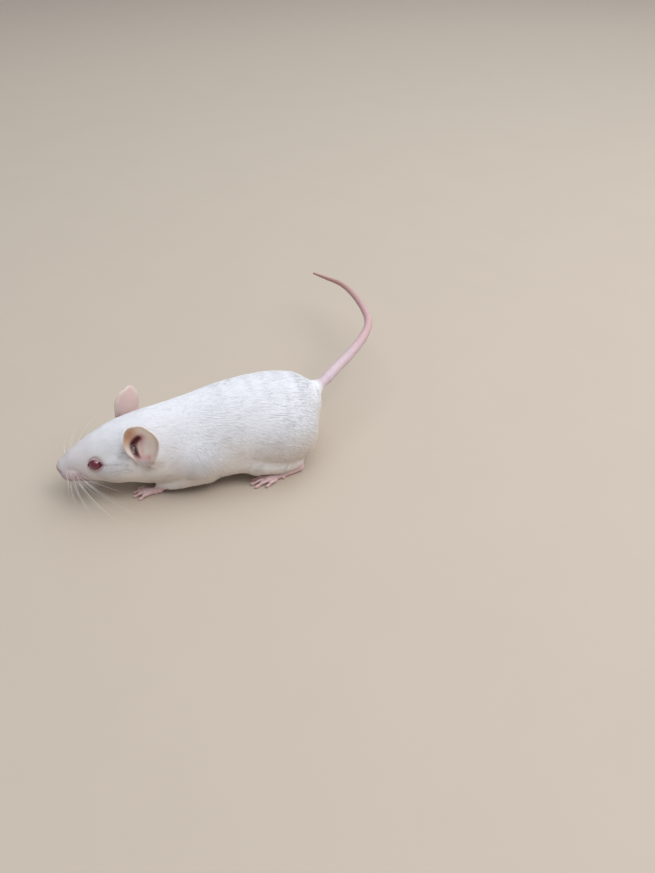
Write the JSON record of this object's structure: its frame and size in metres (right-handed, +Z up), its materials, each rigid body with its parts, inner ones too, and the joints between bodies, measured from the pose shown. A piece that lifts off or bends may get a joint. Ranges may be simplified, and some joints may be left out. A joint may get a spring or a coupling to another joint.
{
  "type": "life-size pet mouse model",
  "caption": "Life-size still model of a white pet mouse with red eyes, crouched on its feet with its head stretched forward and its tail held out in a curve.",
  "frame": {"origin": "on the floor, under the middle of the bounding box of the whole mouse, tail included", "axes": "+Z up, the mouse's nose points to -X and its left side to -Y"},
  "size_m": [0.1216, 0.1054, 0.0311],
  "materials": {
    "coat": "short white fur that lies flat",
    "bare_skin": "thin pink skin of the ears, feet and tail",
    "nose_skin": "moist pink nose",
    "eye": "wet, dark ruby red"
  },
  "bodies": {
    "root": {"nose": "nose_skin", "head": "coat", "eye_right": "eye", "eye_left": "eye", "ear_right": "bare_skin", "ear_left": "bare_skin", "neck": "coat", "trunk": "coat", "fore_leg_right": "coat", "fore_leg_left": "coat", "fore_foot_right": "bare_skin", "fore_foot_left": "bare_skin", "hind_leg_right": "coat", "hind_leg_left": "coat", "hind_foot_right": "bare_skin", "hind_foot_left": "bare_skin", "tail_base": "bare_skin", "tail_middle": "bare_skin", "tail_tip": "bare_skin"}
  },
  "joints": []
}
